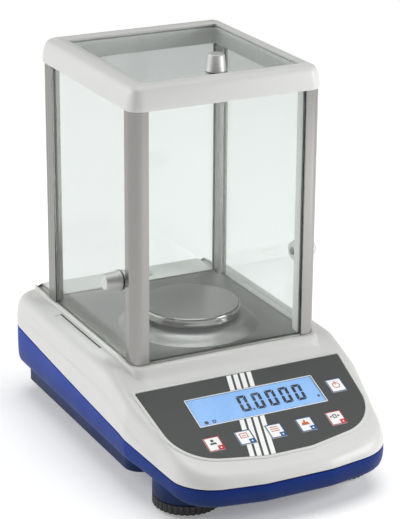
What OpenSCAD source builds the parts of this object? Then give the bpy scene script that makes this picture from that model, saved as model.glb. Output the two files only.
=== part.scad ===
// Laboratory balance with a glazed weighing chamber, a round pan and a sloping control panel.
// Millimetres, +Z up, front of the balance towards -Y.
// The "deck frame" used inside has its origin on the pan's axis at the level of the deck.

/* [Body] */
// Width of the housing across X
body_w = 210; // [190:1:230]
// Height of the deck above the bench
deck_z = 93; // [85:1:105]
// Shift that puts the pan axis at its place along Y
pan_y = 24.1; // [20:0.1:30]
// Wall thickness of both housing shells
shell_t = 3; // [2:0.5:4]
// Slope of the control panel, rise over run
panel_s = 0.375; // [0.3:0.005:0.45]

/* [Chamber] */
// Half width of the chamber over the corner posts
post_x = 82.6; // [78:0.1:86]
// Height of the corner posts above the deck
post_h = 207.5; // [180:0.5:230]
// Thickness of every glass pane
glass_t = 4; // [3:0.5:6]
// Distance of the side doors' mid plane from the pan axis
door_x = 78.5; // [77:0.5:80]
// Width of the door grooves
groove_w = 5; // [4.5:0.1:6]
// Height of the frame on top of the posts
cap_h = 20; // [16:0.5:24]

/* [Pan] */
// Diameter of the flat top of the pan
pan_d = 80; // [70:1:90]
// Height of the pan's top above the deck
pan_top = 19.5; // [17:0.5:24]
// Radius of the pan spindle
spindle_r = 5; // [4:0.5:7]

/* [Feet] */
// Radius of the levelling wheels
wheel_r = 27; // [20:0.5:30]
// Radius of the levelling studs
stud_r = 4; // [3:0.5:5]
// Distance of the levelling feet from the middle plane
foot_x = 67; // [55:1:75]
// Position of the levelling feet along Y in the deck frame
foot_y = -130; // [-140:1:-110]

/* [Keys] */
// Width of a key cap
key_w = 13.6; // [12:0.2:15]
// Height of a key cap along the panel's slope
key_h = 14.6; // [12:0.2:16]
// Distance between neighbouring keys in the lower row
key_pitch = 27; // [24:0.5:28]

/* [Hidden] */
half_w = body_w / 2;
g2 = groove_w / 2;
panel_c = 20.55;
panel_mid_y = -129.6;
panel_mid_z = panel_c + panel_s * panel_mid_y;
panel_ang = atan(panel_s);
floor_z = -60;
key_row_v = -22.4;
power_key = [72.2, 11.4];
// display window on the panel: lowest and highest u, lowest and highest v
window = [-56, 56.4, -2.6, 27];
pan_r = pan_d / 2;
// side of the chamber's corner posts and the panes' places along Y
post_w = 14;
front_y = -67;
front_pane_y = -65;
rear_post_y = 88.7;
rear_pane_y = 97;
door_y0 = -55.8;
top_pane_z = 14.2;
// grips on the side doors and on the top pane
grip_y = -38;
grip_z = 64;
top_grip_y = -44;
// connectors on the back
socket_z = -46;
inlet_x = -34;
port_x = 10;
port_pitch = 25;
// rear feet and the bubble level
rear_foot_x = 70;
rear_foot_y = 98;
level_x = 12.7;
level_y = 122;
foot_level = -deck_z;
cap_z = post_h;
// inset and drop of the rounded shoulder, from the flat top outwards
shoulder = [[10, 0], [7, 0.9], [4.5, 2.6], [2.3, 5.5], [0.9, 9.5], [0.2, 15], [0, 22]];
// seam between the two shells, seen from the side
seam = [[170, -25.5], [124, -29], [50, -34.8], [-12, -39.1], [-89.5, -43.8],
        [-107, -47], [-138, -53], [-160, -57], [-230, -59]];
// circles that round the housing outline, right half, front to back
kink_y = (-2 - panel_c) / panel_s;
body_cs = [[26, -152, 40], [54, -147, 40], [half_w - 20, -95, 20], [half_w - 20, kink_y, 20], [half_w - 25, 117, 25]];
// height of the upper shell's top and of the lower shell's bottom along Y
top_line = [[-250, panel_c - 250 * panel_s], [kink_y, -2], [250, -2]];
base_line = [[-250, -73.6], [-170, -73.3], [-150, -70], [-125, -66], [-98, -63], [250, -63]];
// housing screws: x on both sides, y, level of the inner floor, top of the upper boss
screws = [[84, 118, -60, -3.5], [85, -62, -60, -4.4], [30, -166, -70.2, -43.6]];
// Sub-part to draw
$fn = 48;

module at_deck() {
    translate([0, pan_y, deck_z]) children();
}

// u to the right, v up the slope, w out of the control panel
module on_panel() {
    translate([0, pan_y + panel_mid_y, deck_z + panel_mid_z]) rotate([panel_ang, 0, 0]) children();
}

module rbox2(x0, x1, y0, y1, r) {
    translate([x0 + r, y0]) square([x1 - x0 - 2 * r, y1 - y0]);
    translate([x0, y0 + r]) square([x1 - x0, y1 - y0 - 2 * r]);
    for (x = [x0 + r, x1 - r], y = [y0 + r, y1 - r]) translate([x, y]) circle(r);
}

module bar(x0, x1, y0, y1, z0, z1) {
    translate([x0, y0, z0]) cube([x1 - x0, y1 - y0, z1 - z0]);
}

// direction, in degrees, of the outside tangent between two circles [x, y, r]
function tangent(a, b) =
    atan2(b[1] - a[1], b[0] - a[0]) - acos((a[2] - b[2]) / norm([b[0] - a[0], b[1] - a[1]]));

function arc(c, i, a0, a1) =
    let (n = max(0, ceil((a1 - a0) / 11.3 - 0.01)))
    [for (j = [0:n]) let (a = n == 0 ? a0 : a0 + (a1 - a0) * j / n)
        [c[0] + (c[2] - i) * cos(a), c[1] + (c[2] - i) * sin(a)]];

// right half of a rounded outline around the circles cs, inset by i, from front to back
function half_outline(cs, i) =
    [for (k = [0:len(cs) - 1])
        let (a0 = k == 0 ? -90 : tangent(cs[k - 1], cs[k]),
             a1 = k == len(cs) - 1 ? 90 : tangent(cs[k], cs[k + 1]))
        each arc(cs[k], i, a0, a1)];

function outline(cs, i) =
    let (h = half_outline(cs, i), n = len(h))
    concat(h, [for (k = [n - 1:-1:0]) [-h[k][0], h[k][1]]]);

// outline number l = [circles, inset, heights along Y, shift up]
function ring(l) = [for (p = outline(l[0], l[1])) [p[0], p[1], lookup(p[1], l[2]) + l[3]]];

// solid through a stack of matching rings, lowest first
module skin(layers) {
    rings = [for (l = layers) ring(l)];
    n = len(rings[0]);
    m = len(rings) - 1;
    polyhedron(
        points = [for (r = rings) each r],
        faces = concat(
            [for (k = [0:n / 2 - 2]) [k, k + 1, n - 2 - k, n - 1 - k]],
            [for (k = [0:n / 2 - 2]) [m * n + n - 1 - k, m * n + n - 2 - k, m * n + k + 1, m * n + k]],
            [for (j = [0:m - 1], k = [0:n - 1])
                [j * n + k, (j + 1) * n + k, (j + 1) * n + (k + 1) % n]],
            [for (j = [0:m - 1], k = [0:n - 1])
                [j * n + k, (j + 1) * n + (k + 1) % n, j * n + (k + 1) % n]]));
}

// rounded body of the upper shell, inset by i and lowered by d
module cover_form(i, d) {
    skin(concat([[body_cs, i, [[0, -80]], 0]],
        [for (k = [len(shoulder) - 1:-1:0]) [body_cs, i + shoulder[k][0], top_line, -d - shoulder[k][1]]]));
}

// body of the lower shell, inset by i and raised by d
module tub_form(i, d) {
    skin([[body_cs, i + 5, base_line, d], [body_cs, i + 2.4, base_line, 1.4 + d * 0.8],
          [body_cs, i + 0.9, base_line, 4 + d * 0.5], [body_cs, i + 0.2, base_line, 8.5 + d * 0.2],
          [body_cs, i + 0.2, [[0, -15]], 0]]);
}

module seam_side(up) {
    rotate([90, 0, 90]) translate([0, 0, -150]) linear_extrude(300)
        polygon(concat(seam, [[-230, up ? 60 : -120], [170, up ? 60 : -120]]));
}

function deck_cs(y0) = [[74.5, y0 + 10, 10], [74.5, 128.5, 10]];

// raised middle deck with its sloped front face
module deck_block(i, d) {
    skin([for (l = [[0, -84.5, -14], [0, -77, -5.6], [0, -71.5, -1.6], [0.5, -70.6, -0.5], [1.6, -70, 0]])
        [deck_cs(l[1]), i + l[0], [[0, l[2]]], -d]]);
}

module overlay_plan(i) {
    polygon(outline([[16, -5, 40], [48, 1, 40], [89.4, 43.2, 2]], i));
}

// places of the six keys on the panel
module key_at(k) {
    if (k == 5) translate([power_key[0], power_key[1], 0]) children();
    else translate([(k - 2) * key_pitch, key_row_v, 0]) children();
}

// a round post or hole at every housing screw, from z0 to z1 above the inner floor
module screw_posts(r, z0, z1) {
    for (q = screws, s = [-1, 1]) translate([s * q[0], q[1], q[2] + z0]) cylinder(r = r, h = z1 - z0);
}

module key_hole(gap) {
    bar(-key_w / 2 - gap, key_w / 2 + gap, -key_h / 2 - gap, key_h / 2 + gap, -8, 5);
}

module lower_housing() color("royalblue") at_deck() {
    difference() {
        union() {
            difference() {
                intersection() {
                    tub_form(0, 0);
                    seam_side(false);
                }
                tub_form(shell_t, shell_t);
            }
            // skirt under the floor
            difference() {
                translate([0, 0, -79]) linear_extrude(17) rbox2(-96, 96, -92, 128, 14);
                translate([0, 0, -80]) linear_extrude(19) rbox2(-93, 93, -89, 125, 11);
            }
            for (s = [-1, 1]) {
                translate([s * foot_x, foot_y, -82]) cylinder(r = wheel_r, h = 20);
                translate([s * rear_foot_x, rear_foot_y, -84]) cylinder(r = 15, h = 22.5);
            }
            screw_posts(5, -1, 12);
            for (x = [34, 80], y = [-22, 78]) translate([x, y, -61]) cylinder(r = 3, h = 16);
        }
        for (s = [-1, 1]) {
            translate([s * foot_x, foot_y, -90]) cylinder(r = 6, h = 24);
            translate([s * foot_x, foot_y, -70]) cylinder(r = 4.6, h = 20);
        }
        screw_posts(1.7, -20, 20);
        screw_posts(3.4, -20, -1);
        // window for the connector plate
        bar(-52, 52, 130, 150, -57, -35);
    }
}

module upper_housing() color("gainsboro") at_deck() {
    difference() {
        union() {
            difference() {
                union() {
                    intersection() {
                        cover_form(0, 0);
                        seam_side(true);
                    }
                    deck_block(0, 0);
                }
                cover_form(shell_t, shell_t);
                deck_block(shell_t, shell_t);
            }
            for (q = screws, s = [-1, 1])
                translate([s * q[0], q[1], q[2] + 12.2]) cylinder(r = 4, h = q[3] - q[2] - 12.2);
        }
        screw_posts(1.55, 0, 22);
        // spindle hole and level seat
        translate([0, 0, -10]) cylinder(r = 16, h = 20);
        translate([level_x, level_y, -10]) cylinder(r = 8.6, h = 20);
        for (s = [-1, 1]) {
            bar(s * door_x - 3.4, s * door_x + 3.4, -52, 150, -2.4, 5);
            bar(s * door_x - g2, s * door_x + g2, door_y0 - 0.7, -51, -2.4, 5);
            // shallow recess beside each rail
            translate([s * 89, 0, -3.6]) linear_extrude(10) rbox2(-3.5, 3.5, -13, 69, 1);
        }
        // seats in the sloping panel
        translate([0, panel_mid_y, panel_mid_z]) rotate([panel_ang, 0, 0]) {
            translate([0, 0, -0.8]) linear_extrude(5) overlay_plan(-0.25);
            bar(window[0] - 3.5, window[1] + 3.5, window[2] - 3.5, window[3] + 3.5, -8, 5);
            for (k = [0:5]) key_at(k) key_hole(0.4);
        }
    }
}

module rear_plate() color("dimgray") at_deck() {
    difference() {
        bar(-51.8, 51.8, 139, 140.6, -56.8, -35.2);
        translate([inlet_x, 150, socket_z]) rotate([90, 0, 0]) cylinder(r = 5.6, h = 20);
        bar(port_x - 9.1, port_x + 9.1, 130, 150, socket_z - 5.2, socket_z + 5.2);
        for (s = [-1, 1])
            translate([port_x + s * port_pitch / 2, 150, socket_z]) rotate([90, 0, 0]) cylinder(r = 1.9, h = 20);
    }
}

module overlay() color("dimgray") on_panel() {
    difference() {
        translate([0, 0, -0.8]) linear_extrude(0.6) overlay_plan(0);
        bar(window[0], window[1], window[2], window[3], -2, 2);
        for (k = [0:5]) key_at(k) key_hole(0.3);
    }
}

module display_lens() color("lightblue", 0.4) on_panel() {
    bar(window[0] + 0.2, window[1] - 0.2, window[2] + 0.2, window[3] - 0.2, -0.8, -0.25);
}

module display_module() color("lightskyblue") on_panel() {
    bar(window[0] - 2, window[1] + 2, window[2] - 2, window[3] + 2, -6.3, -1.1);
}

module display_board() color("seagreen") on_panel() {
    difference() {
        bar(-80, 82, -32, 34, -8.4, -6.8);
        for (x = [-76, 78], y = [-26, 30]) translate([x, y, -10]) cylinder(r = 1.6, h = 6);
    }
    bar(window[0] - 1, window[1] + 1, window[2] - 1, window[3] + 1, -6.8, -6.3);
}

module key_domes() color("silver") on_panel() {
    for (k = [0:5]) key_at(k) translate([0, 0, -6.8]) cylinder(r = 4, h = 0.5);
}

module key_cap(k) {
    on_panel() key_at(k) {
        bar(-key_w / 2, key_w / 2, -key_h / 2, key_h / 2, -4.4, 0);
        bar(-key_w / 2 - 1.2, key_w / 2 + 1.2, -key_h / 2, key_h / 2, -5.4, -4.4);
    }
}

module main_board() color("seagreen") at_deck() {
    difference() {
        bar(28, 86, -28, 84, -45, -43.4);
        for (x = [34, 80], y = [-22, 78]) translate([x, y, -50]) cylinder(r = 1.6, h = 10);
    }
    bar(40, 58, 0, 18, -43.4, -40);
    bar(64, 80, 30, 60, -43.4, -33);
}

module chassis() color("darkgray") at_deck() {
    difference() {
        union() {
            bar(-56, 24, -50, 112, floor_z, -56);
            bar(-20, 20, 58, 96, -56.5, -48);
            bar(-56, -52, -50, 112, -56.5, -50);
        }
        for (x = [-11, 11], y = [66, 88]) translate([x, y, -70]) cylinder(r = 2.6, h = 40);
    }
}

// aluminium block with two joined bores that let its free end sink
module load_cell() color("silver") at_deck() {
    difference() {
        bar(-20, 20, -18, 96, -48, -20);
        for (y = [22, 50]) translate([-30, y, -34]) rotate([0, 90, 0]) cylinder(r = 11, h = 60);
        bar(-30, 30, 22, 50, -38, -30);
        for (x = [-11, 11], y = [66, 88]) translate([x, y, -50]) cylinder(r = 2.6, h = 16);
    }
}

module cell_screws() color("gray") at_deck() {
    for (x = [-11, 11], y = [66, 88]) translate([x, y, floor_z]) cylinder(r = 2.5, h = 24);
}

module pan_spindle() color("silver") at_deck() {
    translate([0, 0, -19.2]) cylinder(r = 13, h = 4.2);
    translate([0, 0, -15.2]) cylinder(r = spindle_r, h = 26.7);
    translate([0, 0, 11]) cylinder(r = 4, h = 6);
}

module weighing_pan() color("lightgray") at_deck() {
    rotate_extrude($fn = 96) polygon([
        [4.05, pan_top - 1.6], [4.05, 11.6], [8, 11.6], [8, pan_top - 1.6], [pan_r - 0.8, pan_top - 1.6],
        [pan_r + 0.2, pan_top - 2.4], [pan_r + 0.4, 12.6], [pan_r + 1.6, 12.6], [pan_r + 1.6, pan_top - 2.4],
        [pan_r + 1.1, pan_top - 1], [pan_r - 0.1, pan_top], [0, pan_top], [0, pan_top - 1.6]]);
}

module floor_plate() color("silver") at_deck() {
    difference() {
        union() {
            bar(-75, 75, -66.6, 103, 0, 1.5);
            rotate_extrude($fn = 96) polygon([
                [14, 7.2], [44, 7.2], [47.5, 6.4], [51, 4], [54, 1.4], [56, 0], [58.2, 0.2],
                [57.4, 1.5], [54.5, 3.4], [51, 6.4], [48, 8.2], [44, 8.9], [14, 8.9]]);
        }
        translate([0, 0, -1]) cylinder(r = 52, h = 3.2, $fn = 96);
        for (s = [-1, 1]) {
            bar(s * 75 - 7, s * 75 + 7, -70, -51.8, -1, 3);
            bar(s * 75 - 3, s * 75 + 3, 88.5, 110, -1, 3);
        }
    }
}

module post_front(s) {
    at_deck() scale([s, 1, 1]) linear_extrude(post_h) difference() {
        translate([post_x - post_w, front_y]) square([post_w, 15]);
        // rounded outer corner
        difference() {
            translate([post_x - 9, front_y - 1]) square([10, 10]);
            translate([post_x - 9, front_y + 9]) circle(9);
        }
        translate([post_x - post_w - 2, front_pane_y - 0.2]) square([6, glass_t + 0.4]);
        translate([door_x - g2, door_y0 - 0.7]) square([groove_w, 10]);
    }
}

module post_rear(s) {
    at_deck() scale([s, 1, 1]) linear_extrude(post_h) difference() {
        translate([72.5, rear_post_y]) square([3.5, post_w]);
        translate([71, rear_pane_y - 0.2]) square([3.2, glass_t + 0.4]);
    }
}

module trim(s) {
    at_deck() scale([s, 1, 1]) linear_extrude(post_h) difference() {
        translate([post_x - 1.6, rear_post_y]) square([1.6, post_w]);
        for (y = [2.8, 7, 11.2]) translate([post_x, rear_post_y + y]) circle(0.7, $fn = 24);
    }
}

module cap_frame() color("whitesmoke") at_deck() {
    difference() {
        skin([for (l = [[0, 0], [0.1, 4], [0.7, 8], [1.6, 12], [2.6, 14.8], [3.7, 16.6], [5.2, 17.8], [7.5, 18.8],
            [11, cap_h]])
            [[[72, -56.5, 12], [72, 101, 12]], l[0], [[0, cap_z]], l[1]]]);
        translate([0, 0, cap_z - 1]) linear_extrude(cap_h + 2) rbox2(-67.5, 67.5, -57.5, 88, 1.5);
        // guide for the sliding top pane, open at the back
        bar(-71.4, 71.4, -58.9, 130, cap_z + top_pane_z - 0.2, cap_z + top_pane_z + glass_t + 0.2);
        for (s = [-1, 1])
            bar(s * door_x - g2, s * door_x + g2, door_y0 - 0.7, 130, cap_z - 1, cap_z + 4.5);
    }
}

module front_glass() color("lightcyan", 0.35) at_deck() {
    bar(-72.2, 72.2, front_pane_y, front_pane_y + glass_t, 1.5, post_h);
}

module rear_glass() color("lightcyan", 0.35) at_deck() {
    bar(-73.9, 73.9, rear_pane_y, rear_pane_y + glass_t, 1.5, post_h);
}

module side_pane(s) {
    at_deck() difference() {
        bar(s * door_x - glass_t / 2, s * door_x + glass_t / 2, door_y0, 98, -2, post_h + 4);
        translate([s * door_x - 10, grip_y, grip_z]) rotate([0, 90, 0]) cylinder(r = 3, h = 20);
    }
}

module top_door() color("lightcyan", 0.35) at_deck() {
    difference() {
        bar(-71, 71, -58.5, 98, cap_z + top_pane_z, cap_z + top_pane_z + glass_t);
        translate([0, top_grip_y, cap_z]) cylinder(r = 3, h = 30);
    }
}

// turned grip: wide foot on the glass, narrower end face
module knob() {
    cylinder(r1 = 8.2, r2 = 6.2, h = 14);
    translate([0, 0, -glass_t]) cylinder(r = 2.9, h = glass_t);
}

// inner disc with its countersunk screw
module washer() {
    difference() {
        cylinder(r = 7.5, h = 2);
        translate([0, 0, -1]) cylinder(r = 1.2, h = 2);
    }
}

module side_knob(s) {
    at_deck() translate([s * (door_x + glass_t / 2), grip_y, grip_z]) rotate([0, s * 90, 0]) knob();
}

module side_washer(s) {
    at_deck() translate([s * (door_x - glass_t / 2 - 2), grip_y, grip_z]) rotate([0, s * 90, 0]) washer();
}

module top_grip() color("silver") at_deck() {
    translate([0, top_grip_y, cap_z + top_pane_z + glass_t]) knob();
}

module top_disc() color("silver") at_deck() {
    translate([0, top_grip_y, cap_z + top_pane_z - 2]) washer();
}

module rail(s) {
    at_deck() difference() {
        bar(s * door_x - 3.3, s * door_x + 3.3, -51.9, 136, -2.4, 0);
        bar(s * door_x - g2, s * door_x + g2, -60, 140, -2.1, 1);
    }
}

module foot_wheel(s) {
    at_deck() translate([s * foot_x, foot_y, foot_level + 2.8]) difference() {
        cylinder(r = wheel_r, h = 7.8);
        translate([0, 0, -1]) cylinder(r = stud_r, h = 20);
        for (a = [0:15:345]) rotate(a) translate([wheel_r + 0.6, 0, -1]) cylinder(r = 1.6, h = 20, $fn = 24);
    }
}

module foot_stud(s) {
    at_deck() translate([s * foot_x, foot_y, foot_level + 2.8]) cylinder(r = stud_r, h = 30);
}

module foot_pad(s) {
    at_deck() translate([s * foot_x, foot_y, foot_level]) cylinder(r = 14, h = 2.8);
}

module foot_bushes() color("goldenrod") at_deck() {
    for (s = [-1, 1]) translate([s * foot_x, foot_y, -81.5]) difference() {
        cylinder(r = 5.95, h = 15);
        translate([0, 0, -1]) cylinder(r = stud_r + 0.05, h = 30);
    }
}

module rear_feet() color("black") at_deck() {
    for (s = [-1, 1]) translate([s * rear_foot_x, rear_foot_y, foot_level]) cylinder(r = 12.5, h = 9);
}

module housing_screws() color("gray") at_deck() {
    screw_posts(3, -3, -1);
    screw_posts(1.5, -1, 20);
}

module power_inlet() color("black") at_deck() translate([inlet_x, 0, socket_z]) rotate([-90, 0, 0]) {
    difference() {
        union() {
            translate([0, 0, 124]) cylinder(r = 5.5, h = 18.4);
            translate([0, 0, 140.6]) cylinder(r = 7, h = 1.8);
        }
        translate([0, 0, 132]) cylinder(r = 2.75, h = 20);
    }
    translate([0, 0, 131]) cylinder(r = 1.05, h = 10.4, $fn = 32);
}

module data_port() color("silver") at_deck() {
    bar(port_x - 9, port_x + 9, 130, 142.6, socket_z - 5, socket_z + 5);
    bar(port_x - 17, port_x + 17, 136.5, 138.8, socket_z - 6, socket_z + 6);
}

module port_standoffs() color("goldenrod") at_deck() {
    for (s = [-1, 1]) translate([port_x + s * port_pitch / 2, 0, socket_z]) rotate([-90, 0, 0]) difference() {
        translate([0, 0, 140.6]) cylinder(r = 2.7, h = 3, $fn = 6);
        translate([0, 0, 138]) cylinder(r = 1.4, h = 8, $fn = 32);
    }
}

module level_cup() color("silver") at_deck() translate([level_x, level_y, -5]) {
    difference() {
        union() {
            cylinder(r = 8.4, h = 5);
            translate([0, 0, 5]) cylinder(r = 10, h = 0.9);
        }
        translate([0, 0, 1]) cylinder(r = 7, h = 10);
    }
}

module level_vial() color("yellowgreen", 0.6) at_deck() {
    translate([level_x, level_y, -4]) cylinder(r = 6.9, h = 4.6);
}

lower_housing();
upper_housing();
rear_plate();
overlay();
display_lens();
display_module();
display_board();
key_domes();
color("crimson") key_cap(0);  // key_user
color("steelblue") key_cap(1);  // key_print
color("steelblue") key_cap(2);  // key_menu
color("steelblue") key_cap(3);  // key_cal
color("crimson") key_cap(4);  // key_tare
color("steelblue") key_cap(5);  // key_power
main_board();
chassis();
load_cell();
cell_screws();
pan_spindle();
weighing_pan();
floor_plate();
color("darkgray") post_front(-1);  // post_front_left
color("darkgray") post_front(1);  // post_front_right
color("darkgray") post_rear(-1);  // post_rear_left
color("darkgray") post_rear(1);  // post_rear_right
color("darkgray") trim(-1);  // trim_left
color("darkgray") trim(1);  // trim_right
cap_frame();
front_glass();
rear_glass();
color("lightcyan", 0.35) side_pane(-1);  // left_door
color("lightcyan", 0.35) side_pane(1);  // right_door
top_door();
color("silver") side_knob(-1);  // left_knob
color("silver") side_knob(1);  // right_knob
top_grip();  // top_knob
color("silver") side_washer(-1);  // left_washer
color("silver") side_washer(1);  // right_washer
top_disc();  // top_washer
color("silver") rail(-1);  // left_rail
color("silver") rail(1);  // right_rail
color("black") foot_wheel(-1);  // wheel_left
color("black") foot_wheel(1);  // wheel_right
color("gray") foot_stud(-1);  // stud_left
color("gray") foot_stud(1);  // stud_right
color("black") foot_pad(-1);  // pad_left
color("black") foot_pad(1);  // pad_right
foot_bushes();
rear_feet();
housing_screws();
power_inlet();
data_port();
port_standoffs();
level_cup();
level_vial();
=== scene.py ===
import math

import bmesh
import bpy
import numpy as np
from mathutils import Matrix, Vector


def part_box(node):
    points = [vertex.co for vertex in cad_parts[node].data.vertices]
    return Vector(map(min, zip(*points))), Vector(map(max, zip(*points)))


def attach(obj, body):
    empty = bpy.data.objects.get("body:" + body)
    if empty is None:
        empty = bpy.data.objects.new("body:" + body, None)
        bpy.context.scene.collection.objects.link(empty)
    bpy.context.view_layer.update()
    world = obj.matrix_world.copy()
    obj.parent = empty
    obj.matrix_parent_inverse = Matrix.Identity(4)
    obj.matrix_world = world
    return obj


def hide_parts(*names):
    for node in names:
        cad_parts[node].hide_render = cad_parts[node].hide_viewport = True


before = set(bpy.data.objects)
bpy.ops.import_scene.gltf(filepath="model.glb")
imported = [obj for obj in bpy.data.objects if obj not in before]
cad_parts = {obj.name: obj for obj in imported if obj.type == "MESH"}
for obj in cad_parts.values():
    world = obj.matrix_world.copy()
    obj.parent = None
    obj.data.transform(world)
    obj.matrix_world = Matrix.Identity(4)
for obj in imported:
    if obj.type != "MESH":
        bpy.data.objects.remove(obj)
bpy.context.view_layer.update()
scene = bpy.context.scene

MM = 0.001
pan_low, pan_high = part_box("weighing_pan")
post_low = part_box("post_front_left")[0]
PAN_Y = (pan_low.y + pan_high.y) / 2
DECK_Z = post_low.z
DECK = Matrix.Translation((0, PAN_Y, DECK_Z)) @ Matrix.Scale(MM, 4)

# panel: slope (rise over run) and the place of its origin in the deck frame
PANEL_SLOPE = 0.375
PANEL_Y = -129.6
PANEL_RISE = 20.55
PANEL_Z = PANEL_RISE + PANEL_SLOPE * PANEL_Y
TILT = math.atan(PANEL_SLOPE)
PANEL = DECK @ Matrix.Translation((0, PANEL_Y, PANEL_Z)) @ Matrix.Rotation(TILT, 4, "X")
# height of the level shelf round the deck, behind the panel
SHELF_Z = -2.0

# housing outline: circles (x, y, radius) on the right side, front to back
BODY = [(26, -152, 40), (54, -147, 40), (85, -95, 20), (80, 117, 25)]
# outline of the film on the panel: circles in panel millimetres
FILM = [(16, -5, 40), (48, 1, 40), (89.4, 43.2, 2)]
# rounded side of the cover: (inset from the outline, drop under the top), from the top downwards
SHOULDER = [(13, 0.7), (9.5, 0.75), (7, 1.3), (4.5, 2.8), (2.3, 5.6), (1.0, 9.3), (0.42, 13), (0.12, 17),
            (0.02, 21), (0, 25), (0, 120)]
# height of the seam between the shells and of the lower shell's bottom, along Y
SEAM = [(-230, -59), (-160, -57), (-138, -53), (-107, -47), (-89.5, -43.8), (-12, -39.1),
        (50, -34.8), (124, -29), (170, -25.5)]
BASE = [(-250, -73.6), (-170, -73.3), (-150, -70), (-125, -66), (-98, -63), (250, -63)]
# display window (left, right, low, high) and keys on the panel
WINDOW = (-56, 56.4, -2.6, 27)
KEY_SIZE = (13.6, 14.6)
KEYS = {
    "user": (-54, -22.4),
    "print": (-27, -22.4),
    "menu": (0, -22.4),
    "cal": (27, -22.4),
    "tare": (54, -22.4),
    "power": (72.2, 11.4),
}
# walls of the housing, and how far the lower shell's rim stays under the seam
WALL = 3.0
SEAM_GAP = 0.45
# chamber: the posts' height, the side doors' distance from the middle, the panes' thickness, the underside of
# the top door and the pan's top
POST_H = 207.5
DOOR_X = 78.5
PANE = 4.0
TOP_PANE = POST_H + 14.2
PAN_TOP = 19.5
# places of the levelling feet and of the fixed rear feet, on the right side
FRONT_FOOT = (67, -130)
REAR_FOOT = (70, 98)

# camera: lens in millimetres, yaw, pitch and roll in degrees, and its place in metres
LENS = 138.24
AIM = (27.055, 20.307, 0.385)
CAMERA_PLACE = (-0.6914, -1.3486, 0.7172)
# surroundings: direction of the pale wall, share of it that the opposite wall has, darkest and brightest
# strength, and the share that is left overhead
PALE_SIDE = (-0.45, 0.89, 0.0)
OPPOSITE = 0.6
WORLD_DARK = 0.04
WORLD_LIGHT = 0.6
WORLD_ZENITH = 0.5
# floor: half its width in metres, and its glow
FLOOR_SIZE = 60.0
FLOOR_GLOW = 0.24


# ---------------------------------------- numbers and outlines

def rgb(r, g, b):
    """Scene-linear colour of a screen colour, with alpha 1."""
    shares = [c / 255 for c in (r, g, b)]
    return tuple(c / 12.92 if c < 0.04045 else ((c + 0.055) / 1.055) ** 2.4 for c in shares) + (1.0,)


def along(table, y):
    """Height from a table of (y, height), straight between its entries."""
    return np.interp(y, [p[0] for p in table], [p[1] for p in table])


def top(y):
    """Height of the cover's top: the level shelf and the sloping panel, with a soft bend between them."""
    slope = PANEL_RISE + PANEL_SLOPE * np.asarray(y, float)
    return (slope + SHELF_Z - np.sqrt((slope - SHELF_Z) ** 2 + 1.5)) / 2


def smooth_path(points, parts=4):
    """Catmull-Rom curve through points, each stretch cut into parts."""
    p = np.array([points[0], *points, points[-1]], float)
    made = []
    for k in range(1, len(p) - 2):
        a, b, c, d = p[k - 1 : k + 3]
        for j in range(parts):
            t = j / parts
            bend = (2 * a - 5 * b + 4 * c - d) * t**2 + (3 * b - a - 3 * c + d) * t**3
            made.append(0.5 * (2 * b + (c - a) * t + bend))
    return np.array(made + [p[-1]])


def arc(x, y, r, start, end, step):
    """Points on a circle from one angle to another, in degrees, at most step apart."""
    n = max(1, math.ceil(abs(end - start) / step - 0.01))
    angles = [math.radians(start + (end - start) * k / n) for k in range(n + 1)]
    return [(x + r * math.cos(a), y + r * math.sin(a)) for a in angles]


def tangent(a, b):
    """Direction, in degrees, of the normal of the line that touches two circles on their right."""
    ahead = math.atan2(b[1] - a[1], b[0] - a[0])
    return math.degrees(ahead - math.acos((a[2] - b[2]) / math.hypot(b[0] - a[0], b[1] - a[1])))


def outline(circles, inset=0.0, step=4.0, pieces=1):
    """Closed outline round circles and their mirror images: right half from front to back, then the left."""
    half = []
    for k, (x, y, r) in enumerate(circles):
        start = tangent(circles[k - 1], circles[k]) if k else -90
        end = tangent(circles[k], circles[k + 1]) if k < len(circles) - 1 else 90
        bend = arc(x, y, r - inset, start, end, step)
        if half:
            (x0, y0), (x1, y1) = half[-1], bend[0]
            half += [(x0 + (x1 - x0) * j / pieces, y0 + (y1 - y0) * j / pieces) for j in range(1, pieces)]
        half += bend
    return half + [(-x, y) for x, y in reversed(half)]


class Form:
    """A rounded outline that can be drawn at any inset, with the same points each time."""

    def __init__(self, circles, step=4.0, pieces=1):
        self.edge = np.array(outline(circles, 0, step, pieces))
        self.inward = np.array(outline(circles, 1, step, pieces)) - self.edge

    def at(self, inset):
        return self.edge + self.inward * np.reshape(inset, (-1, 1))

    def ring(self, inset, height):
        """Ring of points at an inset; height is a number, or a function of Y."""
        plan = self.at(inset)
        z = height(plan[:, 1]) if callable(height) else np.full(len(plan), float(height))
        return np.column_stack([plan, z])


def loft(rings):
    """Closed mesh through matching rings, lowest first. The ends are strips from side to side."""
    n, m = len(rings[0]), len(rings) - 1
    faces = []
    for k in range(n // 2 - 1):
        faces.append((k, k + 1, n - 2 - k, n - 1 - k))
        faces.append((m * n + n - 1 - k, m * n + n - 2 - k, m * n + k + 1, m * n + k))
    for j in range(m):
        for k in range(n):
            e = (k + 1) % n
            faces.append((j * n + k, (j + 1) * n + k, (j + 1) * n + e, j * n + e))
    return np.concatenate(rings), faces


def closed_loop(rings):
    """Closed tube through rings that come back to the first one."""
    n, m = len(rings[0]), len(rings)
    faces = []
    for j in range(m):
        for k in range(n):
            e, f = (k + 1) % n, (j + 1) % m
            faces.append((j * n + k, f * n + k, f * n + e, j * n + e))
    return np.concatenate(rings), faces


def prism(points, z0, z1):
    """Upright solid on a flat outline."""
    n = len(points)
    verts = [(x, y, z) for z in (z0, z1) for x, y in points]
    faces = [tuple(reversed(range(n))), tuple(range(n, 2 * n))]
    faces += [(k, (k + 1) % n, n + (k + 1) % n, n + k) for k in range(n)]
    return verts, faces


def oblong(x0, x1, y0, y1):
    return [(x0, y0), (x1, y0), (x1, y1), (x0, y1)]


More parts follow.
